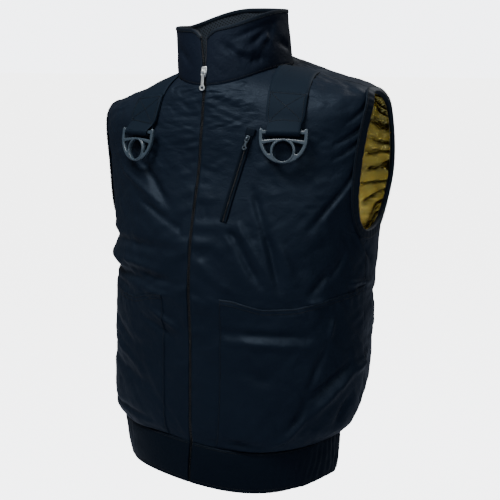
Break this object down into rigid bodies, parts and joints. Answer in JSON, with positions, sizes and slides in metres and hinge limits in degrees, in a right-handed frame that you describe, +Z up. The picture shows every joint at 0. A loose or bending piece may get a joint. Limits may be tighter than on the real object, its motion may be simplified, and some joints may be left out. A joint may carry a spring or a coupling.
{
  "type": "cooling vest",
  "caption": "Sleeveless zip-front cooling vest with stand-up collar, foil lining, gathered hem band, chest webbing straps with moulded rings and a slanted chest pocket zip.",
  "frame": {"origin": "middle of the neck, level with the point where the collar seam crosses the shoulder seam", "axes": "+Z up, the wearer faces -Y, and the wearer's left is +X"},
  "size_m": [0.4612, 0.3116, 0.7079],
  "materials": {
    "shell_cloth": "dark navy woven nylon with a slight sheen",
    "foil_lining": "crinkled gold reflective film on cloth",
    "collar_mesh": "dark spacer mesh with rows of small holes",
    "binding": "dark folded cloth binding",
    "zip_tape": "dark woven zip tape",
    "zip_teeth": "dark moulded zip teeth",
    "zip_metal": "bright cast metal",
    "zip_metal_small": "grey painted metal",
    "webbing": "dark woven webbing",
    "ring_plastic": "dark grey moulded plastic"
  },
  "bodies": {
    "vest": {"shell_front_left": "shell_cloth", "shell_front_right": "shell_cloth", "shell_back": "shell_cloth", "lining_front_left": "foil_lining", "lining_front_right": "foil_lining", "lining_back": "foil_lining", "armhole_binding_left": "binding", "armhole_binding_right": "binding", "collar_shell": "shell_cloth", "collar_mesh": "collar_mesh", "collar_rim": "binding", "hem_band": "shell_cloth", "pocket_left": "shell_cloth", "pocket_right": "shell_cloth", "zip_tape_left": "zip_tape", "zip_tape_right": "zip_tape", "zip_teeth_left": "zip_teeth", "zip_teeth_right": "zip_teeth", "zip_slider": "zip_metal", "chest_zip": "zip_tape", "chest_slider": "zip_metal_small", "strap_left": "webbing", "strap_right": "webbing"},
    "main_pull": {"zip_pull": "zip_metal"},
    "chest_tab": {"chest_pull": "zip_metal_small"},
    "left_ring": {"ring_left": "ring_plastic"},
    "right_ring": {"ring_right": "ring_plastic"}
  },
  "joints": [
    {"name": "main_pull_hinge", "type": "hinge", "parent": "vest", "child": "main_pull", "pos_m": [-0.00224, -0.09536, -0.00754], "axis": [-1, 0, 0], "range_deg": [0, 150]},
    {"name": "chest_tab_hinge", "type": "hinge", "parent": "vest", "child": "chest_tab", "pos_m": [0.0781, -0.10773, -0.10097], "axis": [-0.9601, -0.1193, 0.2528], "range_deg": [0, 150]},
    {"name": "left_ring_hinge", "type": "hinge", "parent": "vest", "child": "left_ring", "pos_m": [0.1311, -0.09665, -0.091], "axis": [-0.9703, -0.2419, 0], "range_deg": [0, 120]},
    {"name": "right_ring_hinge", "type": "hinge", "parent": "vest", "child": "right_ring", "pos_m": [-0.11217, -0.10195, -0.097], "axis": [-0.9563, 0.2924, 0], "range_deg": [0, 120]}
  ]
}
